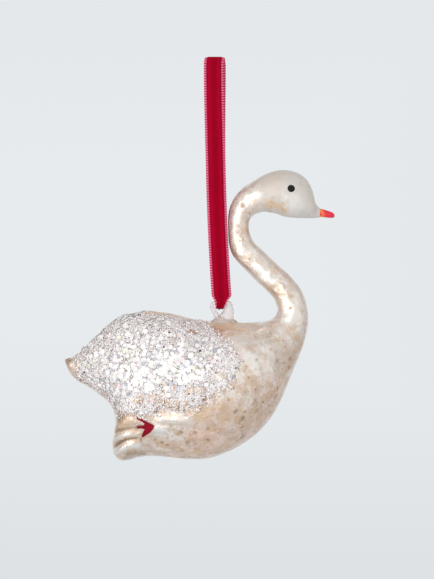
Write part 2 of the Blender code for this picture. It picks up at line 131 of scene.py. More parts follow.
class GlassSettings(bpy.types.PropertyGroup):
    pearl: colour_property("Pearl", "Lacquer over the silvering", 0.82, 0.77, 0.72)
    cream: colour_property("Cream", "Warmer lacquer low on the body", 0.80, 0.62, 0.495)
    # The cool colour is also laid as painted highlights: on the breast, below the eye and on the moulded
    # ridges
    cool_and_highlight: colour_property("Cool mottle and highlight", "Cooler clouds in the lacquer", 0.88, 0.865, 0.83)
    rose: colour_property("Rose mottle", "Pinkish clouds in the lacquer", 0.78, 0.53, 0.44)
    matt: colour_property("Matt pearl", "Thicker lacquer on the head", 0.565, 0.53, 0.49)
    gold: colour_property("Gold mottle", "Golden stains in the lacquer", 0.68, 0.47, 0.28)
    # The warm colour also lays the painted shade over the crown
    warm: colour_property("Warm mottle", "Soft blotches in the lacquer", 0.58, 0.435, 0.34)
    speck: colour_property("Speckle", "Small spots where the silver is worn", 0.24, 0.15, 0.08)
    flute_depth: length_property("Flute depth", "Depth of the moulded flutes on the rump", 0.0009)
    waviness: length_property("Waviness", "Unevenness of the blown wall", 0.00020)
    clear: colour_property("Clear glass", "Tint of the glass loop", 1.0, 0.945, 0.945)


class GlitterSettings(bpy.types.PropertyGroup):
    large_count: count_property("Large flakes", "Large flakes on each side", 620)
    large_radius: length_property("Large radius", "Mean radius of a large flake", 0.00095)
    fine_count: count_property("Fine flakes", "Fine flakes on each side", 15000)
    fine_radius: length_property("Fine radius", "Mean radius of a fine flake", 0.00030)
    glue: colour_property("Glue", "Glue and dust between the flakes", 0.84, 0.80, 0.77)
    dust: colour_property("Dust", "Dark dust in the glue", 0.42, 0.34, 0.30)
    fade: length_property("Fade", "Width over which the glitter thins out at its edge", 0.0022)


class RibbonSettings(bpy.types.PropertyGroup):
    pile: colour_property("Pile", "Velvet pile", 0.41, 0.0008, 0.021)
    pile_dark: colour_property("Pile shade", "Velvet pile where it lies flat", 0.28, 0.0004, 0.013)
    selvage: colour_property("Selvage", "Woven edge", 0.46, 0.021, 0.078)
    stitch: colour_property("Edge loops", "Pale loops of the woven edge", 0.88, 0.235, 0.37)
    edge_width: length_property("Edge width", "Width of the woven edge", 0.0011)
    pitch: length_property("Loop pitch", "Distance between edge loops", 0.001056)


class PaintSettings(bpy.types.PropertyGroup):
    beak: colour_property("Beak", "Beak paint", 0.73, 0.017, 0.047)
    beak_patch: colour_property("Beak patch", "Thin paint at the beak's root", 0.85, 0.20, 0.03)
    dot: colour_property("Eye dot", "Eye paint", 0.004, 0.004, 0.004)
    foot: colour_property("Foot", "Foot paint", 0.30, 0.001, 0.014)


class StageSettings(bpy.types.PropertyGroup):
    backdrop: colour_property("Backdrop", "Pale backdrop and floor", 0.799, 0.831, 0.855)
    backdrop_low: colour_property("Backdrop, low", "Backdrop near the bottom", 0.716, 0.748, 0.773)
    front_wall: colour_property("Front wall", "Room that the glass mirrors in front", 0.83, 0.81, 0.79)
    side_wall: colour_property("Side walls", "Room that the glass mirrors beside it", 0.54, 0.49, 0.455)
    table: colour_property("Table", "Table that the glass mirrors from below", 0.62, 0.52, 0.45)
    distance: length_property("Camera distance", "From the camera to the bauble", 3.0)
    frame_height: length_property("Frame height", "Height of the picture at the bauble", 0.2388)
    key_power: power_property("Key lamp", "Watts of the key softbox", 5.8)
    fill_power: power_property("Fill lamp", "Watts of the fill softbox", 2.5)
    ambient: bpy.props.FloatProperty(name="Ambient", description="Strength of the room light", default=0.69)


# Small helpers


def select_only(*objects):
    """Selects nothing but these objects, with the first one active."""
    bpy.ops.object.select_all(action="DESELECT")
    for obj in objects:
        obj.select_set(True)
    if objects:
        bpy.context.view_layer.objects.active = objects[0]


def new_object(name, data):
    """An object linked to the scene."""
    obj = bpy.data.objects.new(name, data)
    bpy.context.scene.collection.objects.link(obj)
    return obj


def in_edit_mode(obj, *steps):
    """Runs each step on the object with all of its mesh selected."""
    select_only(obj)
    bpy.ops.object.mode_set(mode="EDIT")
    for step in steps:
        bpy.ops.mesh.select_all(action="SELECT")
        step()
    bpy.ops.object.mode_set(mode="OBJECT")


def apply_modifier(obj, kind, **values):
    modifier = obj.modifiers.new(kind.title(), kind)
    for name, value in values.items():
        setattr(modifier, name, value)
    select_only(obj)
    bpy.ops.object.modifier_apply(modifier=modifier.name)


def copy_of_node(node, name):
    """A merged copy of a CAD node, in quads where its triangles pair up."""
    obj = new_object(name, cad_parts[node].data.copy())
    obj.data.materials.clear()
    in_edit_mode(
        obj,
        lambda: bpy.ops.mesh.customdata_custom_splitnormals_clear(),
        lambda: bpy.ops.mesh.remove_doubles(threshold=1e-6),
        lambda: bpy.ops.mesh.tris_convert_to_quads(
            face_threshold=math.radians(60), shape_threshold=math.radians(100)
        ),
    )
    return obj


def tree_of_node(node):
    """A search tree over a CAD node's surface."""
    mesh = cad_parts[node].data
    points = [vert.co for vert in mesh.vertices]
    return BVHTree.FromPolygons(points, [face.vertices for face in mesh.polygons])


def finished(obj, material, node):
    """Shades the piece smooth, gives it its material and puts it in the place of its CAD node."""
    obj.data.materials.clear()
    obj.data.materials.append(material)
    select_only(obj)
    bpy.ops.object.shade_smooth()
    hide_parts(node)
    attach(obj, BODY)


def placed(obj):
    """Moves the object's place, turn and size into its mesh."""
    select_only(obj)
    bpy.ops.object.transform_apply(location=True, rotation=True, scale=True)
    return obj


def numbers_of(items, name, kind=np.float32):
    """One property of a mesh's items, three numbers to a row."""
    values = np.empty(len(items) * 3, kind)
    items.foreach_get(name, values)
    return values.reshape(-1, 3)


def points_of(mesh):
    return numbers_of(mesh.vertices, "co").astype(float)


def ease(value):
    """A soft step from 0 to 1."""
    value = min(max(value, 0.0), 1.0)
    return value * value * (3 - 2 * value)


# Materials


class Nodes:
    """A node tree being laid out, with short calls for its nodes and links."""

    def __init__(self, tree):
        self.tree = tree

    def feed(self, socket, value):
        """Links a socket or a node's first output to the socket, or sets it to a plain value."""
        if isinstance(value, bpy.types.Node):
            value = value.outputs[0]
        if isinstance(value, bpy.types.NodeSocket):
            self.tree.links.new(value, socket)
        elif socket.type == "RGBA" and len(value) == 3:
            socket.default_value = (*value, 1)
        else:
            socket.default_value = value

    def fill(self, node, **inputs):
        """Feeds inputs by name, with _ for a space, or by number, as i0 and i1."""
        for name, value in inputs.items():
            key = int(name[1:]) if name[1:].isdigit() else name.replace("_", " ")
            self.feed(node.inputs[key], value)
        return node

    def node(self, kind, values=None, **inputs):
        made = self.tree.nodes.new(kind)
        for name, value in (values or {}).items():
            setattr(made, name, value)
        return self.fill(made, **inputs)

    def math(self, operation, *values, clamp=False):
        made = self.node("ShaderNodeMath", {"operation": operation, "use_clamp": clamp})
        for socket, value in zip(made.inputs, values):
            self.feed(socket, value)
        return made.outputs[0]

    def times(self, *values):
        return functools.reduce(functools.partial(self.math, "MULTIPLY"), values)

    def plus(self, *values):
        return functools.reduce(functools.partial(self.math, "ADD"), values)

    def most(self, *values):
        """The largest of the values."""
        return functools.reduce(functools.partial(self.math, "MAXIMUM"), values)

    def minus(self, a, b, clamp=False):
        return self.math("SUBTRACT", a, b, clamp=clamp)

    def vector(self, operation, a, b):
        return self.node("ShaderNodeVectorMath", {"operation": operation}, i0=a, i1=b)

    def ramp(self, value, low, high, to_low=0.0, to_high=1.0):
        """Soft step of a value from one level to another."""
        values = {"interpolation_type": "SMOOTHSTEP"}
        made = self.node("ShaderNodeMapRange", values, i0=value, i1=low, i2=high, i3=to_low, i4=to_high)
        return made.outputs[0]

    def away(self, flat, centre):
        """Distance from a centre, seen from the side."""
        return self.vector("DISTANCE", flat, (centre[0], 0, centre[1])).outputs["Value"]

    def spot(self, flat, centre, radius):
        """A soft round mask about a centre, seen from the side."""
        return self.ramp(self.away(flat, centre), radius, 0.45 * radius)

    def mix(self, share, a, b, blend="MIX"):
        values = {"data_type": "RGBA", "blend_type": blend}
        return self.node("ShaderNodeMix", values, i0=share, i6=a, i7=b).outputs[2]

    def attribute(self, name):
        return self.node("ShaderNodeAttribute", {"attribute_name": name}).outputs

    def effect(self, name, vector, scale, **inputs):
        """The outputs of a shared effect, laid on a vector at a scale."""
        made = self.node("ShaderNodeGroup", {"node_tree": shared_group(name)})
        return self.fill(made, Vector=vector, Scale=scale, **inputs).outputs


def lay_out_blotches(nodes, given, result):
    """Irregular soft-edged patches: a mask from warped noise."""
    look = {"Detail": 4.0, "Roughness": 0.62, "Distortion": 0.6}
    grain = nodes.node("ShaderNodeTexNoise", Vector=given["Vector"], Scale=given["Scale"], **look)
    low = nodes.minus(given["Level"], given["Softness"])
    high = nodes.plus(given["Level"], given["Softness"])
    nodes.feed(result["Mask"], nodes.ramp(grain.outputs[0], low, high))


def lay_out_dots(nodes, given, result):
    """Small round spots of uneven size, scattered over the surface, and the rims of the same spots."""
    place = {"Vector": given["Vector"], "Scale": given["Scale"]}
    cells = nodes.node("ShaderNodeTexVoronoi", Randomness=1.0, **place).outputs
    chance = nodes.node("ShaderNodeSeparateColor", i0=cells["Color"]).outputs
    size = nodes.times(given["Size"], nodes.plus(chance[1], 0.5))
    dot = nodes.ramp(cells["Distance"], nodes.times(size, 0.45), size, 1.0, 0.0)
    kept = nodes.math("LESS_THAN", chance[0], given["Density"])
    nodes.feed(result["Mask"], nodes.times(dot, kept))
    nodes.feed(result["Rim"], nodes.times(dot, nodes.minus(1.0, dot), 4.0, kept))


def lay_out_warp(nodes, given, result):
    """Coordinates pushed about by noise, so that what is laid on them looks brushed."""
    grain = nodes.node("ShaderNodeTexNoise", Vector=given["Vector"], Scale=given["Scale"], Detail=3.0)
    centred = nodes.vector("SUBTRACT", grain.outputs[1], (0.5, 0.5, 0.5))
    push = nodes.node("ShaderNodeVectorMath", {"operation": "SCALE"}, i0=centred, Scale=given["Amount"])
    nodes.feed(result["Vector"], nodes.vector("ADD", given["Vector"], push))


def lay_out_grain(nodes, given, result):
    """Fine grain as a height."""
    grain = nodes.node("ShaderNodeTexNoise", Vector=given["Vector"], Scale=given["Scale"], Detail=2.0)
    nodes.feed(result["Height"], grain)


# Effects that materials share: how each is laid out, its number inputs with their defaults, and its outputs
EFFECTS = {
    "blotches": (lay_out_blotches, {"Scale": 100.0, "Level": 0.5, "Softness": 0.08}, ("Mask",)),
    "dots": (lay_out_dots, {"Scale": 500.0, "Density": 0.4, "Size": 0.4}, ("Mask", "Rim")),
    "warp": (lay_out_warp, {"Scale": 200.0, "Amount": 0.002}, ("Vector",)),
    "fine grain": (lay_out_grain, {"Scale": 1000.0}, ("Height",)),
}


def shared_group(name):
    """The node group of a shared effect, built at its first use."""
    if name in bpy.data.node_groups:
        return bpy.data.node_groups[name]
    lay_out, numbers, results = EFFECTS[name]
    tree = bpy.data.node_groups.new(name, "ShaderNodeTree")
    tree.interface.new_socket("Vector", in_out="INPUT", socket_type="NodeSocketVector")
    for socket, default in numbers.items():
        made = tree.interface.new_socket(socket, in_out="INPUT", socket_type="NodeSocketFloat")
        made.default_value = default
    for socket in results:
        kind = "NodeSocketVector" if socket == "Vector" else "NodeSocketFloat"
        tree.interface.new_socket(socket, in_out="OUTPUT", socket_type=kind)
    nodes = Nodes(tree)
    given = nodes.node("NodeGroupInput").outputs
    lay_out(nodes, given, nodes.node("NodeGroupOutput").inputs)
    return tree


def new_material(name):
    """(material, layout helper, shader, object coordinates) of a fresh material."""
    material = bpy.data.materials.new(name)
    material.use_nodes = True
    nodes = Nodes(material.node_tree)
    shader = material.node_tree.nodes["Principled BSDF"]
    place = nodes.node("ShaderNodeTexCoord").outputs["Object"]
    return material, nodes, shader, place


def bumped(nodes, shader, height, distance, strength=1.0):
    bump = nodes.node("ShaderNodeBump", Strength=strength, Distance=distance, Height=height)
    nodes.feed(shader.inputs["Normal"], bump)


def grained(nodes, shader, place, scale, distance, strength=1.0):
    """Roughens the surface with fine grain."""
    bumped(nodes, shader, nodes.effect("fine grain", place, scale)[0], distance, strength)


# Bands of the lacquer, from where each starts to where it is full, along X or Z
LOW_Z = (-0.106, -0.150)
BREAST_X = (0.010, 0.034)
BREAST_Z = (-0.100, -0.122)
TAIL_X = (-0.040, -0.060)
BACK_X = (0.022, 0.010)
BACK_FOOT_Z = (-0.116, -0.109)
BACK_TOP_Z = (-0.098, -0.104)
NECK_Z = (-0.114, -0.100)
HEAD_X = (0.015, 0.021)
HEAD_Z = (-0.080, -0.068)

# Band along the keel: its centre, how far out it starts and is full, and its ends
KEEL = (0.0020, -0.1270)
KEEL_REACH = (0.0180, 0.0330)
KEEL_X = (-0.022, -0.006)
KEEL_Z = (-0.126, -0.140)

# Round zones of the lacquer, and of painted highlights and painted shade, seen from the side: centre, then
# radius
SPOTS = {
    # A broad painted highlight on the breast, where the cool clouds crowd
    "painted highlight": ((0.0120, -0.1280), 0.0190),
    "throat": ((0.0250, -0.0615), 0.0070),
    "neck bend": ((0.0160, -0.0690), 0.0060),
    # Painted highlight tint: paler lacquer over the swell under the wing, where the key lamp's highlight
    # falls, so that it reads white
    "swell highlight": ((-0.0210, -0.1500), 0.0140),
    # Painted shade: a darker warm tint over the crown, where the key lamp's highlight falls
    "dull_and_shade": ((0.0230, -0.0500), 0.0080),
    # A soft painted highlight below the eye
    "cheek highlight": ((0.0320, -0.0600), 0.0060),
}
STAINS = (
    ((-0.0603, -0.1246), 0.0020),
    ((-0.0560, -0.1325), 0.0016),
    ((-0.0385, -0.1478), 0.0028),
    ((-0.0350, -0.1645), 0.0036),
    ((-0.0300, -0.1632), 0.0026),
)


def lacquer_zones(nodes, place):
    """Masks, seen from the side, for the parts of the swan where the lacquer differs, and for painted
    highlights and shade.
    """
    x, _, z = nodes.node("ShaderNodeSeparateXYZ", Vector=place).outputs
    flat = nodes.node("ShaderNodeCombineXYZ", X=x, Z=z)
    zone = {name: nodes.spot(flat, *spot) for name, spot in SPOTS.items()}
    zone["low"] = nodes.ramp(z, *LOW_Z)
    zone["breast"] = nodes.times(nodes.ramp(x, *BREAST_X, 0.0, 0.75), nodes.ramp(z, *BREAST_Z))
    foot_to_top = nodes.times(nodes.ramp(z, *BACK_FOOT_Z), nodes.ramp(z, *BACK_TOP_Z))
    zone["back"] = nodes.times(foot_to_top, nodes.ramp(x, *BACK_X))
    zone["head"] = nodes.times(nodes.ramp(x, *HEAD_X), nodes.ramp(z, *HEAD_Z))
    neck = nodes.times(nodes.ramp(z, *NECK_Z), nodes.ramp(zone["head"], 0.0, 1.0, 0.34, 0.0))
    throat = nodes.times(nodes.most(zone["throat"], zone["neck bend"]), 0.8)
    body = nodes.most(zone["low"], zone["breast"], nodes.ramp(x, *TAIL_X), zone["back"])
    zone["wear"] = nodes.most(body, throat, neck)
    keel = nodes.ramp(nodes.away(flat, KEEL), *KEEL_REACH)
    zone["keel"] = nodes.times(keel, nodes.ramp(z, *KEEL_Z), nodes.ramp(x, *KEEL_X))
    zone["stained"] = nodes.most(*(nodes.spot(flat, *stain) for stain in STAINS))
    return zone


def pearl_glass_material(settings):
    """Silvered glass under pearl lacquer, with warm blotches, worn specks, fine crackle, and painted
    highlights and shade.
    """
    material, nodes, shader, place = new_material("pearl glass")
    zone = lacquer_zones(nodes, place)
    wear, head, back = zone["wear"], zone["head"], zone["back"]
    flute = nodes.attribute("flute")["Fac"]
    ridge = nodes.attribute("ridge")["Fac"]
    brushed = nodes.effect("warp", place, 190.0, Amount=0.0026)[0]
    drawn = nodes.node("ShaderNodeMapping", Vector=place, Scale=(0.22, 1.0, 1.5))

    # Patches of the lacquer, from broad to fine
    level = nodes.ramp(wear, 0.0, 1.0, 0.60, 0.50)
    rosy = nodes.ramp(wear, 0.0, 1.0, 0.58, 0.49)
    # The cool clouds crowd into the painted highlight on the breast
    cool_level_and_highlight = nodes.ramp(zone["painted highlight"], 0.0, 1.0, 0.53, 0.43)
    matt = nodes.effect("blotches", place, 45.0, Level=0.5, Softness=0.12)[0]
    broad = nodes.effect("blotches", place, 60.0, Level=level, Softness=0.10)[0]
    cool_and_highlight = nodes.effect("blotches", brushed, 85.0, Level=cool_level_and_highlight, Softness=0.12)[0]
    rose = nodes.effect("blotches", place, 125.0, Level=rosy, Softness=0.09)[0]
    clouds = nodes.effect("blotches", brushed, 170.0, Level=0.54, Softness=0.10)[0]
    gold = nodes.effect("blotches", brushed, 190.0, Level=0.53, Softness=0.05)[0]
    small = nodes.effect("blotches", brushed, 250.0, Level=level, Softness=0.06)[0]
    streaks = nodes.effect("blotches", drawn, 260.0, Level=0.48, Softness=0.12)[0]

    # Spots where the silver is worn, few on the head
    density = nodes.ramp(wear, 0.1, 1.0, 0.03, 0.36)
    drops = nodes.effect("dots", brushed, 190.0, Density=density, Size=0.44)
    dots = nodes.effect("dots", brushed, 360.0, Density=density, Size=0.36)[0]
    pits = nodes.effect("dots", brushed, 900.0, Density=density, Size=0.5)[0]
    bare = nodes.ramp(head, 0.0, 1.0, 1.0, 0.12)

    # Colour: each layer's mask, strength and tint, laid over the ones before it; some layers are painted
    # highlights and painted shade
    creamy = nodes.minus(nodes.times(wear, 0.9), nodes.times(zone["breast"], 0.9), clamp=True)
    colour = nodes.mix(creamy, settings.pearl, settings.cream)
    layers = (
        # Cool clouds, crowded into a painted highlight on the breast
        (cool_and_highlight, 0.85, settings.cool_and_highlight),
        (rose, 0.4, settings.rose),
        (clouds, 0.5, settings.cool_and_highlight),
        (broad, 0.2, settings.warm),
        (head, 0.8, settings.matt),
        (zone["keel"], 0.65, settings.rose),
        # Painted highlight tint over the swell under the wing
        (zone["swell highlight"], 0.7, settings.pearl),
        # Painted shade over the crown, in the warm mottle colour
        (zone["dull_and_shade"], 0.30, settings.warm),
        # Painted highlight: a paler glow below the eye
        (zone["cheek highlight"], 0.35, settings.cool_and_highlight),
        (nodes.times(gold, wear), 0.85, settings.gold),
        (nodes.times(small, bare), 0.7, settings.warm),
        (nodes.times(drops["Mask"], bare), 0.25, settings.gold),
        (nodes.times(drops["Rim"], bare), 0.3, settings.speck),
        (nodes.times(dots, bare), 0.6, settings.speck),
        (pits, 0.28, settings.speck),
        (nodes.times(streaks, back), 0.75, settings.gold),
        # Painted highlight tint: the moulded ridges and ledges paler, where their highlights fall
        (ridge, 0.75, settings.cool_and_highlight),
        (zone["stained"], 0.5, settings.speck),
        # Darker in the flute valleys, in the speckle colour
        (nodes.ramp(flute, 0.3, 1.0), 0.85, settings.speck),
    )
    for mask, strength, tint in layers:
        colour = nodes.mix(nodes.times(mask, strength), colour, tint)

    # Gloss: duller on the head, the back and matt patches, and shiny on the moulded ridges
    worn = nodes.most(small, dots)
    dull_and_shade = nodes.most(nodes.times(matt, 0.35), head, nodes.times(back, 0.7))
    dull_and_shade = nodes.times(dull_and_shade, nodes.ramp(ridge, 0.0, 0.5, 1.0, 0.0))
    rough = nodes.plus(nodes.ramp(worn, 0.0, 1.0, 0.22, 0.34), nodes.times(zone["low"], 0.08))
    rough = nodes.plus(nodes.minus(rough, nodes.times(ridge, 0.12)), nodes.times(dull_and_shade, 0.2))
    silver = nodes.minus(nodes.ramp(worn, 0.0, 1.0, 0.74, 0.45), nodes.times(dull_and_shade, 0.6), clamp=True)
    coat = nodes.ramp(dull_and_shade, 0.0, 1.0, 0.55, 0.25)
    nodes.fill(shader, Base_Color=colour, Roughness=rough, Metallic=silver, Coat_Weight=coat)
    nodes.fill(shader, Coat_Roughness=0.14)

    # Relief: crackle of the silvering, lumps of the glass and thin lacquer in the small patches
    round_cells = {"feature": "SMOOTH_F1"}
    cells = nodes.node("ShaderNodeTexVoronoi", round_cells, Vector=brushed, Scale=200.0, Smoothness=0.15)
    lumps = nodes.effect("fine grain", place, 420.0)[0]
    height = nodes.plus(nodes.times(cells.outputs[0], 2.2), nodes.times(lumps, 0.25))
    bumped(nodes, shader, nodes.minus(height, nodes.times(small, 0.2)), 0.00024)
    return material


def clear_glass_material(settings):
    """Clear glass, slightly frosted by the flame."""
    material, nodes, shader, place = new_material("clear glass")
    nodes.fill(shader, Base_Color=settings.clear, Transmission_Weight=0.7, Roughness=0.24, IOR=1.48)
    grained(nodes, shader, place, 420.0, 0.0002, 0.6)
    return material


def glue_material(settings):
    """Glue full of fine silver dust, between the flakes."""
    material, nodes, shader, place = new_material("glitter glue")
    mask = nodes.effect("blotches", place, 900.0, Level=0.5, Softness=0.12)[0]
    dust = nodes.effect("dots", place, 2200.0, Density=0.5, Size=0.5)[0]
    pale = [min(1.0, channel * 1.45) for channel in settings.glue]
    colour = nodes.mix(dust, nodes.mix(mask, settings.glue, pale), settings.dust)
    nodes.fill(shader, Base_Color=colour, Roughness=nodes.ramp(mask, 0.0, 1.0, 0.55, 0.3))
    grained(nodes, shader, place, 2600.0, 0.0003)
    return material


def flake_material(name, roughness):
    """Foil flakes, each with its own tint from the piece's colour attribute."""
    material, nodes, shader, place = new_material(name)
    film = nodes.effect("fine grain", place, 700.0)[0]
    shade = nodes.ramp(film, 0.3, 0.7, 0.95, 1.0)
    veil = nodes.node("ShaderNodeCombineXYZ", X=1.0, Y=shade, Z=shade)
    colour = nodes.mix(1.0, nodes.attribute("flake_tint")["Color"], veil, "MULTIPLY")
    nodes.fill(shader, Base_Color=colour, Metallic=0.15, Roughness=roughness, Coat_Weight=0.15)
    return material


def velvet_material(settings):
    """Velvet pile with a woven edge, laid out on the ribbon's own map: across, then along in pitches."""
    material, nodes, shader, place = new_material("red velvet")
    uv = nodes.node("ShaderNodeUVMap", {"uv_map": "ribbon"})
    across, along, _ = nodes.node("ShaderNodeSeparateXYZ", Vector=uv).outputs
    from_middle = nodes.math("ABSOLUTE", nodes.minus(across, 0.5))
    edge_share = settings.edge_width / RIBBON_WIDTH
    edge = nodes.ramp(from_middle, 0.5 - edge_share - 0.015, 0.5 - edge_share + 0.02)
    wave = nodes.math("SINE", nodes.times(along, 2 * math.pi))
    near_edge = nodes.ramp(from_middle, 0.5 - edge_share * 0.9, 0.42)
    # Painted shade: the edge loops on the +X side, away from the key lamp, are darker
    shaded = nodes.ramp(across, 0.4, 0.6, 1.0, 0.82)
    loops = nodes.times(nodes.ramp(wave, -0.25, 0.35), near_edge, shaded)
    nap = nodes.effect("blotches", place, 160.0, Level=0.5, Softness=0.2)[0]
    flat = nodes.times(nodes.ramp(from_middle, 0.26, 0.05), 0.75)
    flat = nodes.math("ADD", flat, nodes.times(nap, 0.25), clamp=True)
    pile = nodes.mix(flat, settings.pile, settings.pile_dark)
    woven = nodes.mix(loops, settings.selvage, settings.stitch)
    rough = nodes.ramp(edge, 0.0, 1.0, 0.95, 0.6)
    nodes.fill(shader, Base_Color=nodes.mix(edge, pile, woven), Roughness=rough, Specular_IOR_Level=0.05)
    nodes.fill(shader, Sheen_Weight=0.05, Sheen_Roughness=0.45, Sheen_Tint=(0.9, 0.12, 0.22))
    grained(nodes, shader, place, 3800.0, 0.0002)
    return material


def beak_material(settings, root_x):
    """Red paint, thin and orange in patches near the beak's root."""
    material, nodes, shader, place = new_material("beak paint")
    x = nodes.node("ShaderNodeSeparateXYZ", Vector=place).outputs[0]
    near_root = nodes.ramp(x, root_x + 0.0024, root_x + 0.0006)
    thin = nodes.effect("blotches", place, 700.0, Level=0.46, Softness=0.06)[0]
    colour = nodes.mix(nodes.times(near_root, thin), settings.beak, settings.beak_patch)
    nodes.fill(shader, Base_Color=colour, Roughness=0.32)
    grained(nodes, shader, place, 900.0, 0.0001)
    return material


def paint_material(name, colour, roughness, shine):
    """Brushed paint, in places a little darker."""
    material, nodes, shader, place = new_material(name)
    mask = nodes.effect("blotches", place, 600.0, Level=0.5, Softness=0.15)[0]
    colour = nodes.mix(mask, colour, [channel * 0.75 for channel in colour])
    nodes.fill(shader, Base_Color=colour, Roughness=roughness, Specular_IOR_Level=shine)
    grained(nodes, shader, place, 1100.0, 0.0001)
    return material


# Glass swan

# Flutes (and the ridges between them, less than zero) round the rump: height at their front end, drop towards
# the rear, and depth as a share
FLUTES = (
    (-0.1472, 0.0006, 0.5),
    (-0.1526, 0.0008, 0.9),
    (-0.1546, 0.0014, -1.0),
    (-0.1566, 0.0034, 1.3),
    (-0.1583, 0.0046, -1.9),
)
FLUTE_WIDTH = 0.0013
FLUTE_REAR = -0.0420
FLUTE_FRONT = -0.0325
FLUTE_FADE = 0.0040
FLUTE_SIDE = 0.45

# Bulges of the belly under the wing's edge: middle, half length, half height and height
LEDGES = (
    ((-0.0225, -0.1522), (0.0048, 0.0017), 0.0013),
    ((-0.0165, -0.1484), (0.0080, 0.0016), 0.0012),
)
LEDGE_HEIGHT = 0.0013

# Feather relief on the wing: middle, half length and half height of its zone, ridge spacing and height
FEATHER_ZONE = ((-0.0215, -0.1390), (0.0130, 0.0080))
FEATHER_PITCH = 0.0029
FEATHER_HEIGHT = 0.00028

# The blown wall's unevenness: waves to a metre, and where it fades before the beak and over what length
WAVES = 110
SMOOTH_FROM = 0.046
SMOOTH_FADE = 0.004


def hump(x, z, middle, half):
    """A smooth round bulge, 1 at its middle, seen from the side."""
    return math.exp(-(((x - middle[0]) / half[0]) ** 2) - ((z - middle[1]) / half[1]) ** 2)


def flute_depth(place, normal):
    """Depth of the moulded flutes at a place on the glass, as a share of the full depth."""
    x, _, z = place
    run = (FLUTE_FRONT - x) / (FLUTE_FRONT - FLUTE_REAR)
    cut = 0.0
    for front, drop, deep in FLUTES:
        middle = front - drop * max(run, 0.0) ** 2
        cut += deep * math.exp(-(((z - middle) / FLUTE_WIDTH) ** 2))
    return cut * ease((FLUTE_FRONT + FLUTE_FADE - x) / FLUTE_FADE) * ease(abs(normal.y) / FLUTE_SIDE)


def make_skin(settings):
    """The blown glass, with flutes and ledges on the rump and feather ridges on the wings."""
    skin = copy_of_node("swan_glass", "glass_swan")
    apply_modifier(skin, "SUBSURF", levels=2, render_levels=2)
    mesh = skin.data
    normals = [vert.normal.copy() for vert in mesh.vertices]
    flutes = [flute_depth(vert.co, normal) for vert, normal in zip(mesh.vertices, normals)]
    ridges = []
    for vert, normal, flute in zip(mesh.vertices, normals, flutes):
        x, _, z = vert.co
        ledge = sum(height * hump(x, z, middle, half) for middle, half, height in LEDGES)
        ledge *= ease(abs(normal.y) / FLUTE_SIDE)
        stripe = math.sin(math.sqrt(2) * math.pi * (x - z) / FEATHER_PITCH)
        feather = FEATHER_HEIGHT * hump(x, z, *FEATHER_ZONE) * stripe
        ridges.append(min(1.0, ledge / LEDGE_HEIGHT + max(0.0, -flute)))
        wave = settings.waviness * noise.noise(vert.co * WAVES) * ease((SMOOTH_FROM - x) / SMOOTH_FADE)
        vert.co += normal * (ledge + feather + wave - flute * settings.flute_depth)
    for name, values in (("flute", flutes), ("ridge", ridges)):
        layer = mesh.attributes.new(name, "FLOAT", "POINT")
        layer.data.foreach_set("value", values)
    finished(skin, pearl_glass_material(settings), "swan_glass")


# Glass loop on the back

# Rings of its flared foot: share of the foot's width, and height in thirds of the foot's rise
MOUND_RINGS = ((1.02, -0.9), (0.98, 0.0), (0.84, 0.55), (0.64, 1.2), (0.44, 2.0), (0.2, 2.5))
MELT_GRAIN = 0.00022
MELT_UNEVEN = 0.00025
MELT_WAVES = 260


def make_hanging_eye(settings):
    """A bent glass rod on a flared foot, melted together and thicker down its front leg."""
    reach = EYE_RISE - EYE_WIRE / 2
    foot = Vector((RIBBON_LEAN + reach * math.sin(EYE_LEAN), 0, 0))
    foot.z = -RIBBON_DROP + FIT_GAP + EYE_WIRE / 2 - reach * math.cos(EYE_LEAN)
    select_only()
    bpy.ops.curve.primitive_bezier_curve_add()
    loop = bpy.context.object
    loop.name = "glass_loop"
    loop.data.bevel_depth = EYE_WIRE / 2
    loop.data.bevel_resolution = 4
    loop.data.resolution_u = 6
    loop.data.use_fill_caps = True
    spline = loop.data.splines[0]
    spline.bezier_points.add(len(LOOP_ROUTE) - len(spline.bezier_points))
    for point, (forward, up, wires) in zip(spline.bezier_points, LOOP_ROUTE):
        point.co = foot + Vector((forward * EYE_SPAN, 0, up * EYE_RISE)) / 100
        point.handle_left_type = point.handle_right_type = "AUTO"
        point.radius = wires
    select_only(loop)
    bpy.ops.object.convert(target="MESH")
    rings = []
    for share, up in MOUND_RINGS:
        middle = foot + Vector((-EYE_SET_BACK, 0, up * EYE_FOOT_RISE / 3))
        select_only()
        bpy.ops.mesh.primitive_circle_add(vertices=40, radius=share * EYE_FOOT / 2, location=middle)
        ring = placed(bpy.context.object)
        for vert in ring.data.vertices:
            vert.co.y *= FOOT_THIN
        rings.append(ring)
    select_only(*rings)
    bpy.ops.object.join()
    mound = rings[0]
    in_edit_mode(
        mound,
        lambda: bpy.ops.mesh.bridge_edge_loops(),
        lambda: bpy.ops.mesh.fill_holes(sides=0),
        lambda: bpy.ops.mesh.normals_make_consistent(inside=False),
    )
    select_only(loop, mound)
    bpy.ops.object.join()
    apply_modifier(loop, "REMESH", mode="VOXEL", voxel_size=MELT_GRAIN)
    apply_modifier(loop, "SMOOTH", factor=0.5, iterations=10)
    for vert in loop.data.vertices:
        vert.co += MELT_UNEVEN * noise.noise_vector(vert.co * MELT_WAVES)
    finished(loop, clear_glass_material(settings), "hanging_eye")


# Ribbon

# Rows of the mesh down each strand and round each bend, and the outline's flat underside
STRAND_ROWS = 380
BEND_ROWS = 14
UNDERSIDE = ((0.92, 0.0), (0.5, 0.0), (0.0, 0.0), (-0.5, 0.0), (-0.92, 0.0))

# How far the edge's loops stand out, and the folds gathered in the glass loop: their length, their height,
# and how often they wave across the ribbon and along it
LOOP_REACH = 0.00010
GATHER = 2.2 * PINCH_LENGTH
GATHER_FOLD = 0.00035
GATHER_WAVES = (7, 60)


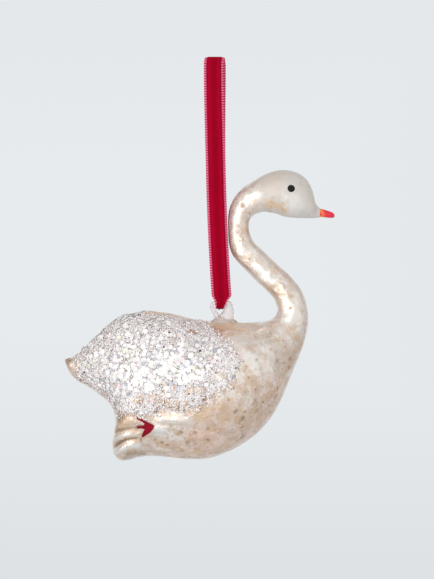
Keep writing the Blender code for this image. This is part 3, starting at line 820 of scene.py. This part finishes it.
def strand(share, side):
    """(middle, outward, inner face, thickness, half width) at a share of the drop, front -1 or back 1."""
    above_eye = (1 - share) * RIBBON_DROP
    pinch = 1 - ease(above_eye / PINCH_LENGTH)
    thickness = RIBBON_THICKNESS + pinch * (PINCH_THICKNESS - RIBBON_THICKNESS)
    eye_bend = EYE_WIRE / 2 + FIT_GAP
    inner = RIBBON_FOLD + share * (eye_bend - RIBBON_FOLD) + RIBBON_BOW * math.sin(math.pi * share)
    skew = side * RIBBON_SKEW / 2 * (1 - ease(share / SKEW_SHARE))
    if side > 0:
        past = above_eye - LAP_ABOVE_EYE
        thickness += RIBBON_THICKNESS * min(ease(past / LAP_STEP), ease((LAP_LENGTH - past) / LAP_STEP))
    bottom = -RIBBON_DROP + EYE_WIRE / 2 + FIT_GAP
    forward = RIBBON_LEAN * share**DRIFT + skew - pinch * PINCH_SET_BACK
    middle = Vector((forward, 0, -RIBBON_FOLD + share * (bottom + RIBBON_FOLD)))
    half_width = (RIBBON_WIDTH + pinch * (PINCH_WIDTH - RIBBON_WIDTH)) / 2
    return middle, Vector((0, side, 0)), inner, thickness, half_width


def half_turn(start, end, up):
    """Sections between two strands, over the top fold (up 1) or under the glass loop (up -1)."""
    rows = []
    for k in range(1, BEND_ROWS):
        turn = math.pi * k / BEND_ROWS
        out = start[1] * math.cos(turn) + Vector((0, 0, up)) * math.sin(turn)
        middle, half_width = start[0].lerp(end[0], k / BEND_ROWS), start[4]
        if up < 0:
            middle = middle - Vector((math.sin(turn) * BEND_SET_BACK, 0, 0))
            half_width += math.sin(turn) * (BEND_WIDTH - PINCH_WIDTH) / 2
        rows.append((middle, out, start[2], start[3], half_width))
    return rows


def ribbon_route():
    """Sections round the loop: over the top fold, down the front, under the glass loop and up the back."""
    shares = [k / STRAND_ROWS for k in range(STRAND_ROWS + 1)]
    front = [strand(share, -1) for share in shares]
    back = [strand(share, 1) for share in reversed(shares)]
    return half_turn(back[-1], front[0], 1) + front + half_turn(front[-1], back[0], -1) + back


def ribbon_profile(settings):
    """Half a cross-section: (share across, height above the inner face as a share of the thickness)."""
    edge = 2 * settings.edge_width / RIBBON_WIDTH
    return (
        (0.0, 1.0),
        (0.3, 1.0),
        (0.55, 1.0),
        (0.72, 0.98),
        (1 - edge - 0.04, 0.94),
        (1 - edge, 0.8),
        (1 - edge * 0.75, 0.72),
        (1 - edge * 0.4, 0.7),
        (1 - edge * 0.1, 0.66),
        (1.0, 0.4),
    )


def make_ribbon(settings):
    """Velvet strip swept round the loop, with a raised pile and looped woven edges."""
    rows = ribbon_route()
    half = ribbon_profile(settings)
    outline = [(-across, high) for across, high in reversed(half[1:])] + [*half, *UNDERSIDE]
    count = len(outline)
    along = [0.0]
    middles = [middle + out * (inner + thickness / 2) for middle, out, inner, thickness, _ in rows]
    for a, b in zip(middles, middles[1:] + middles[:1]):
        along.append(along[-1] + (b - a).length)
    turns = round(along[-1] / settings.pitch)
    verts, faces, maps = [], [], []
    for (middle, out, inner, thickness, half_width), run in zip(rows, along):
        bulge = LOOP_REACH * math.sin(2 * math.pi * turns * run / along[-1])
        gather = ease((GATHER - (middle.z + RIBBON_DROP)) / GATHER) * GATHER_FOLD
        for across, high in outline:
            reach = across * half_width
            if abs(across) > 0.9:
                reach += math.copysign(bulge, across)
            fold = gather * math.cos(across * GATHER_WAVES[0] + run * GATHER_WAVES[1])
            lift = inner + high * thickness + (fold if high > 0 else 0)
            verts.append(middle + out * lift + Vector((reach, 0, 0)))
    for r in range(len(rows)):
        s = (r + 1) % len(rows)
        for k in range(count):
            n = (k + 1) % count
            faces.append((r * count + k, r * count + n, s * count + n, s * count + k))
            u = [(outline[i][0] + 1) / 2 for i in (k, n)]
            v = [turns * along[i] / along[-1] for i in (r, r + 1)]
            maps += [(u[0], v[0]), (u[1], v[0]), (u[1], v[1]), (u[0], v[1])]
    mesh = bpy.data.meshes.new("velvet_ribbon_pile")
    mesh.from_pydata(verts, [], faces)
    layer = mesh.uv_layers.new(name="ribbon")
    layer.data.foreach_set("uv", [value for pair in maps for value in pair])
    ribbon = new_object("velvet_ribbon_pile", mesh)
    in_edit_mode(ribbon, lambda: bpy.ops.mesh.normals_make_consistent(inside=False))
    finished(ribbon, velvet_material(settings), "velvet_ribbon")


# Glitter

# Tint, then its share of the fine flakes and of the large flakes
TINTS = (
    ((0.98, 0.98, 0.99), 0.60, 0.70),
    ((0.95, 0.86, 0.86), 0.18, 0.09),
    ((0.74, 0.71, 0.72), 0.08, 0.05),
    ((0.58, 0.49, 0.45), 0.10, 0.01),
    ((0.28, 0.21, 0.18), 0.05, 0.00),
    ((0.50, 0.54, 0.61), 0.02, 0.06),
    ((0.86, 0.90, 0.76), 0.02, 0.07),
)

# Fine glitter and large flakes: inset from the coat's edge in fades, spread of the radius, lowest and highest
# place over the glass, and tilt
FINE_INSET, LARGE_INSET = 0.2, 1.2
FINE_SPREAD, LARGE_SPREAD = (0.65, 1.35), (0.7, 1.3)
FINE_LIFT, LARGE_LIFT = (0.00015, 0.00050), (0.00045, 0.00075)
FINE_TILT, LARGE_TILT = 0.38, 0.14

# A few black flakes lie on top of the large ones
BLACK = (0.02, 0.02, 0.024)
BLACK_COUNT = 7
BLACK_RADIUS = 0.0005
BLACK_LIFT = 0.0009

# Zone of the wing that the large flakes crowd: middle, half length and half height, and the share elsewhere
CROWD_ZONE = ((-0.021, -0.131), (0.020, 0.0105))
CROWD_REST = 0.10

# Glue: its height over the glass, its lumps and their waves to a metre, and its thickness
GLUE_RISE = 0.00012
GLUE_LUMPS = 0.00010
GLUE_WAVES = 900
GLUE_THICKNESS = 0.00015

# The skin is under the coat where the coat lies this near, and how far the search for it goes
COAT_NEAR = 0.00062
COAT_SEARCH = 0.004


def under_coat(mesh):
    """Whether each of the skin's vertices lies under the glitter coat."""
    tree = tree_of_node("glitter_coat")
    near = [tree.find_nearest(vert.co, COAT_SEARCH)[3] for vert in mesh.vertices]
    return [distance is not None and distance < COAT_NEAR for distance in near]


def unit(vectors):
    return vectors / np.linalg.norm(vectors, axis=1)[:, None]


def scatter(mesh, covered, side, count, inset, fade, rng, crowd=None):
    """Places on the coated glass: (point, normal) arrays, thinning out at an inset from the coat's edge."""
    mesh.calc_loop_triangles()
    tris = numbers_of(mesh.loop_triangles, "vertices", np.int32)
    normals = numbers_of(mesh.vertex_normals, "vector")
    co = points_of(mesh)
    covered = np.array(covered)
    edge_verts = np.unique(tris[covered[tris].any(1) & ~covered[tris].all(1)])
    tree = KDTree(len(edge_verts))
    for index in edge_verts:
        tree.insert(co[index], int(index))
    tree.balance()
    reach = np.array([tree.find(point)[2] for point in co]) * np.where(covered, 1, -1)
    middle = co[tris].mean(1)
    wanted = (reach[tris].max(1) > inset - 1.5 * fade) & (side * middle[:, 1] >= 0)
    tris = tris[wanted]
    a, b, c = (co[tris[:, k]] for k in range(3))
    area = np.linalg.norm(np.cross(b - a, c - a), axis=1) / 2
    density = 1 / (1 + np.exp(-(reach[tris].mean(1) - inset) / (0.3 * fade)))
    weight = area * density
    if crowd is not None:
        weight = weight * crowd(co[tris].mean(1))
    chosen = rng.choice(len(tris), size=count, p=weight / weight.sum())
    u, v = rng.random(count), rng.random(count)
    over = u + v > 1
    u[over], v[over] = 1 - u[over], 1 - v[over]
    share = np.stack([1 - u - v, u, v], 1)[:, :, None]
    corners = tris[chosen]
    points = (co[corners] * share).sum(1)
    return points, unit((normals[corners] * share).sum(1))


def one_flake():
    """A six-sided foil flake, one unit across its radius, flat on top and closed to a point underneath."""
    select_only()
    bpy.ops.mesh.primitive_cone_add(vertices=6, radius1=1, radius2=0, depth=0.25, rotation=(math.pi, 0, 0))
    flake = placed(bpy.context.object)
    verts = points_of(flake.data)
    verts[:, 2] -= verts[:, 2].max()
    faces = [tuple(p.vertices) for p in flake.data.polygons]
    bpy.data.objects.remove(flake)
    return verts, faces


def strewn(name, places, radii, tilt, lift, tints, rng, material):
    """One piece holding a flake at every place, each turned, tilted and tinted at random."""
    template, template_faces = one_flake()
    points, normals = places
    count = len(points)
    facing = unit(normals + tilt * rng.normal(size=(count, 3)))
    helper = unit(np.cross(facing, rng.normal(size=(count, 3))))
    axes = (helper, np.cross(facing, helper), facing)
    turned = sum(template[None, :, k : k + 1] * axis[:, None, :] for k, axis in enumerate(axes))
    verts = points[:, None, :] + (normals * lift[:, None])[:, None, :] + radii[:, None, None] * turned
    per = len(template)
    faces = [tuple(i + k * per for i in face) for k in range(count) for face in template_faces]
    mesh = bpy.data.meshes.new(name)
    mesh.from_pydata(verts.reshape(-1, 3).tolist(), [], faces)
    colours = np.ones((count, per, 4), np.float32)
    colours[:, :, :3] = tints[:, None, :]
    layer = mesh.color_attributes.new("flake_tint", "FLOAT_COLOR", "POINT")
    layer.data.foreach_set("color", colours.ravel())
    mesh.materials.append(material)
    obj = new_object(name, mesh)
    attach(obj, BODY)


def tints_for(count, column, rng):
    """A tint for each flake, from the shares in a column of TINTS, each a little lighter or darker."""
    shares = np.array([row[column] for row in TINTS])
    palette = np.array([row[0] for row in TINTS])
    chosen = rng.choice(len(TINTS), size=count, p=shares / shares.sum())
    return np.clip(palette[chosen] * rng.uniform(0.84, 1.06, size=(count, 1)), 0, 1)


def wing_crowd(centres):
    """How large flakes crowd on the middle and the lower half of the wing."""
    (middle_x, middle_z), (half_x, half_z) = CROWD_ZONE
    x, z = centres[:, 0], centres[:, 2]
    return CROWD_REST + np.exp(-(((x - middle_x) / half_x) ** 2) - (((z - middle_z) / half_z) ** 2))


def make_glue(settings, skin, covered):
    """The glue: a lumpy copy of the skin under the coat, with a thickness of its own."""
    glue = new_object("glitter_glue", skin.data.copy())
    bm = bmesh.new()
    bm.from_mesh(glue.data)
    bm.verts.ensure_lookup_table()
    bmesh.ops.delete(bm, geom=[v for v in bm.verts if not covered[v.index]], context="VERTS")
    bm.normal_update()
    for vert in bm.verts:
        rim = 0.0 if vert.is_boundary else 1.0
        vert.co += vert.normal * rim * (GLUE_RISE + GLUE_LUMPS * noise.noise(vert.co * GLUE_WAVES))
    bm.to_mesh(glue.data)
    bm.free()
    apply_modifier(glue, "SOLIDIFY", thickness=GLUE_THICKNESS, offset=-1.0)
    finished(glue, glue_material(settings), "glitter_coat")


def make_glitter(settings):
    """Glue on both wings and the back, then fine glitter and large flakes strewn on each side."""
    skin = bpy.data.objects["glass_swan"]
    covered = under_coat(skin.data)
    make_glue(settings, skin, covered)
    fine, large = flake_material("fine glitter", 0.38), flake_material("sequin flakes", 0.34)
    fade = settings.fade
    for side, name in ((-1, "right"), (1, "left")):
        rng = np.random.default_rng(40 + side)
        count = settings.fine_count
        places = scatter(skin.data, covered, side, count, FINE_INSET * fade, fade, rng)
        radii = settings.fine_radius * rng.uniform(*FINE_SPREAD, count)
        lift = rng.uniform(*FINE_LIFT, count)
        tints = tints_for(count, 1, rng)
        strewn(f"fine_glitter_{name}", places, radii, FINE_TILT, lift, tints, rng, fine)
        count = settings.large_count
        places = scatter(skin.data, covered, side, count, LARGE_INSET * fade, fade, rng, wing_crowd)
        radii = settings.large_radius * rng.uniform(*LARGE_SPREAD, count)
        lift = rng.uniform(*LARGE_LIFT, count)
        tints = tints_for(count, 2, rng)
        radii[:BLACK_COUNT] = BLACK_RADIUS
        tints[:BLACK_COUNT] = BLACK
        lift[:BLACK_COUNT] = BLACK_LIFT
        strewn(f"sequin_flakes_{name}", places, radii, LARGE_TILT, lift, tints, rng, large)


# Paint on the glass

# The beak's coat: the band of its root that is tucked back, and how far
ROOT_BAND = 0.0001
ROOT_TUCK = 0.0005

# Eye dots: radius as a share of the node's, rise as a share of the radius, and their unevenness
DOT_SHARE = 0.97
DOT_RISE = 0.22
DOT_UNEVEN = 0.00008
DOT_WAVES = 500


def make_beak(settings):
    """The beak's coat of paint, which starts under the edge of the lacquer."""
    beak = copy_of_node("beak_paint", "painted_beak")
    low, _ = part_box("beak_paint")
    for vert in beak.data.vertices:
        if vert.co.x < low.x + ROOT_BAND:
            vert.co.x -= ROOT_TUCK
    apply_modifier(beak, "SUBSURF", levels=2, render_levels=2)
    finished(beak, beak_material(settings, low.x), "beak_paint")


def make_eye_dots(settings):
    """The painted eyes, each a low drop of paint on the dressed glass."""
    skin = bpy.data.objects["glass_swan"]
    material = paint_material("eye paint", settings.dot, 0.18, 0.26)
    for name in ("eye_dot_right", "eye_dot_left"):
        low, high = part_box(name)
        _, place, normal, _ = skin.closest_point_on_mesh((low + high) / 2)
        radius = (high.z - low.z) / 2 * DOT_SHARE
        select_only()
        bpy.ops.mesh.primitive_uv_sphere_add(
            segments=32, ring_count=16, radius=radius, location=place, scale=(1, 1, DOT_RISE)
        )
        dot = bpy.context.object
        dot.name = name.replace("eye_dot", "painted_eye")
        dot.rotation_mode = "QUATERNION"
        dot.rotation_quaternion = normal.to_track_quat("Z", "Y")
        placed(dot)
        for vert in dot.data.vertices:
            vert.co += DOT_UNEVEN * noise.noise_vector(vert.co * DOT_WAVES)
        finished(dot, material, name)


def make_feet(settings):
    """The painted feet, laid on the dressed glass at their height over the plain glass."""
    skin = bpy.data.objects["glass_swan"]
    plain = tree_of_node("swan_glass")
    material = paint_material("foot paint", settings.foot, 0.42, 0.12)
    for name in ("foot_paint_right", "foot_paint_left"):
        foot = copy_of_node(name, name.replace("foot_paint", "painted_foot"))
        apply_modifier(foot, "SUBSURF", subdivision_type="SIMPLE", levels=2, render_levels=2)
        for vert in foot.data.vertices:
            height = plain.find_nearest(vert.co)[3]
            _, place, normal, _ = skin.closest_point_on_mesh(vert.co)
            vert.co = place + normal * (height - 0.5 * FIT_GAP)
        apply_modifier(foot, "SMOOTH", factor=0.4, iterations=3)
        finished(foot, material, name)


# Stage

# Middle of the picture at the bauble, the floor under it, and where the floor fades into the backdrop
PICTURE_MIDDLE = (0.0009, 0, -0.0951)
FLOOR_MIDDLE = (0, 0, -0.55)
FLOOR_RADIUS = 1.3
FLOOR_FADE = (0.35, 1.2)

# Lamps: place from the bauble, size, colour, and whether the glass mirrors them
KEY_SOFTBOX = ((-0.46, -0.82, -0.05), (1.10, 1.35), (1.0, 0.99, 0.98), True)
FILL_SOFTBOX = ((0.75, -0.70, 0.60), (0.7, 0.9), (0.97, 0.985, 1.0), False)


def make_camera(settings):
    camera = bpy.data.cameras.new("camera")
    camera.sensor_width = 36
    camera.lens = camera.sensor_width * settings.distance / settings.frame_height
    holder = new_object("camera", camera)
    holder.location = Vector(PICTURE_MIDDLE) + Vector((0, -settings.distance, 0))
    holder.rotation_euler = (math.pi / 2, 0, 0)
    bpy.context.scene.camera = holder


def make_lamp(name, power, place, size, colour, mirrored):
    lamp = bpy.data.lights.new(name, "AREA")
    lamp.shape = "RECTANGLE"
    lamp.size, lamp.size_y = size
    lamp.energy = power
    lamp.color = colour
    stand = new_object(name, lamp)
    middle = Vector(PICTURE_MIDDLE)
    stand.location = middle + Vector(place)
    stand.rotation_euler = (middle - stand.location).to_track_quat("-Z", "Y").to_euler()
    stand.visible_glossy = mirrored


def make_floor(settings):
    """A pale floor well below the bauble, which fades into the backdrop."""
    select_only()
    bpy.ops.mesh.primitive_circle_add(
        vertices=96, radius=FLOOR_RADIUS, fill_type="NGON", location=FLOOR_MIDDLE
    )
    floor = placed(bpy.context.object)
    floor.name = "floor"
    material, nodes, shader, place = new_material("pale floor")
    away = nodes.vector("DISTANCE", place, FLOOR_MIDDLE).outputs["Value"]
    alpha = nodes.ramp(away, *FLOOR_FADE, 1.0, 0.0)
    nodes.fill(shader, Base_Color=settings.backdrop, Roughness=0.9, Alpha=alpha)
    floor.data.materials.append(material)


def make_world(settings):
    """A pale backdrop for the camera, walls and a table for gloss, and plain even light for the rest."""
    world = bpy.data.worlds.new("studio")
    bpy.context.scene.world = world
    world.use_nodes = True
    world.node_tree.nodes.clear()
    nodes = Nodes(world.node_tree)
    way = nodes.node("ShaderNodeTexCoord").outputs["Generated"]
    aside, behind, up = nodes.node("ShaderNodeSeparateXYZ", Vector=way).outputs
    fall = nodes.most(nodes.ramp(up, 0.0, -0.05), nodes.ramp(up, 0.012, 0.04, 0.0, 0.32))
    fall = nodes.most(fall, nodes.ramp(aside, 0.008, 0.03, 0.0, 0.28))
    seen = nodes.mix(fall, settings.backdrop, settings.backdrop_low)
    walls = nodes.mix(nodes.ramp(behind, -0.6, 0.2), settings.front_wall, settings.side_wall)
    walls = nodes.mix(nodes.ramp(up, -0.15, -0.7), walls, settings.table)
    mirrored = nodes.mix(nodes.ramp(behind, 0.55, 0.95), walls, settings.backdrop)
    backdrop = nodes.node("ShaderNodeBackground", Color=seen, Strength=1.0)
    mirror = nodes.node("ShaderNodeBackground", Color=mirrored, Strength=1.0)
    room = nodes.node("ShaderNodeBackground", Color=(1.0, 1.0, 1.0), Strength=settings.ambient)
    path = nodes.node("ShaderNodeLightPath").outputs
    shown = nodes.most(path["Is Camera Ray"], path["Is Transmission Ray"])
    indirect = nodes.node("ShaderNodeMixShader", i0=path["Is Glossy Ray"], i1=room, i2=mirror)
    blend = nodes.node("ShaderNodeMixShader", i0=shown, i1=indirect, i2=backdrop)
    nodes.node("ShaderNodeOutputWorld", Surface=blend)


def make_stage(settings):
    make_camera(settings)
    make_lamp("key_softbox", settings.key_power, *KEY_SOFTBOX)
    make_lamp("fill_softbox", settings.fill_power, *FILL_SOFTBOX)
    make_floor(settings)
    make_world(settings)
    bpy.context.scene.view_settings.view_transform = "Standard"


# Operators, one for each piece or group of like pieces and one for the stage


class SWAN_OT_stage(bpy.types.Operator):
    """Sets up the camera, the lamps, the floor and the backdrop"""

    bl_idname = "swan.stage"
    bl_label = "Stage"

    def execute(self, context):
        make_stage(context.scene.swan_stage)
        return {"FINISHED"}


class SWAN_OT_ribbon(bpy.types.Operator):
    """Sweeps the velvet ribbon round its loop"""

    bl_idname = "swan.ribbon"
    bl_label = "Velvet Ribbon"

    def execute(self, context):
        make_ribbon(context.scene.swan_ribbon)
        return {"FINISHED"}


class SWAN_OT_skin(bpy.types.Operator):
    """Shapes the blown glass swan with its moulded flutes"""

    bl_idname = "swan.skin"
    bl_label = "Glass Swan"

    def execute(self, context):
        make_skin(context.scene.swan_glass)
        return {"FINISHED"}


class SWAN_OT_eye(bpy.types.Operator):
    """Melts the glass loop onto its foot"""

    bl_idname = "swan.hanging_eye"
    bl_label = "Glass Loop"

    def execute(self, context):
        make_hanging_eye(context.scene.swan_glass)
        return {"FINISHED"}


class SWAN_OT_glitter(bpy.types.Operator):
    """Lays the glue on the wings and strews the flakes and fine glitter"""

    bl_idname = "swan.glitter"
    bl_label = "Glitter"

    def execute(self, context):
        make_glitter(context.scene.swan_glitter)
        return {"FINISHED"}


class SWAN_OT_paint(bpy.types.Operator):
    """Paints the beak, the eye dots and the feet"""

    bl_idname = "swan.paint"
    bl_label = "Painted Details"

    def execute(self, context):
        make_beak(context.scene.swan_paint)
        make_eye_dots(context.scene.swan_paint)
        make_feet(context.scene.swan_paint)
        return {"FINISHED"}


class SWAN_PT_panel(bpy.types.Panel):
    bl_idname = "SWAN_PT_panel"
    bl_label = "Swan Bauble"
    bl_space_type = "VIEW_3D"
    bl_region_type = "UI"
    bl_category = "Swan Bauble"

    def draw(self, context):
        for operator in OPERATORS:
            self.layout.operator(operator.bl_idname)


SETTINGS = {
    "swan_stage": StageSettings,
    "swan_ribbon": RibbonSettings,
    "swan_glass": GlassSettings,
    "swan_glitter": GlitterSettings,
    "swan_paint": PaintSettings,
}
OPERATORS = (SWAN_OT_stage, SWAN_OT_ribbon, SWAN_OT_skin, SWAN_OT_eye, SWAN_OT_glitter, SWAN_OT_paint)


def register():
    for name, group in SETTINGS.items():
        bpy.utils.register_class(group)
        setattr(bpy.types.Scene, name, bpy.props.PointerProperty(type=group))
    for item in (*OPERATORS, SWAN_PT_panel):
        bpy.utils.register_class(item)


def unregister():
    for item in reversed((*OPERATORS, SWAN_PT_panel)):
        bpy.utils.unregister_class(item)
    for name, group in reversed(SETTINGS.items()):
        delattr(bpy.types.Scene, name)
        bpy.utils.unregister_class(group)


def main():
    register()
    bpy.ops.swan.stage()
    bpy.ops.swan.ribbon()
    bpy.ops.swan.skin()
    bpy.ops.swan.hanging_eye()
    bpy.ops.swan.glitter()
    bpy.ops.swan.paint()


if __name__ == "__main__":
    main()
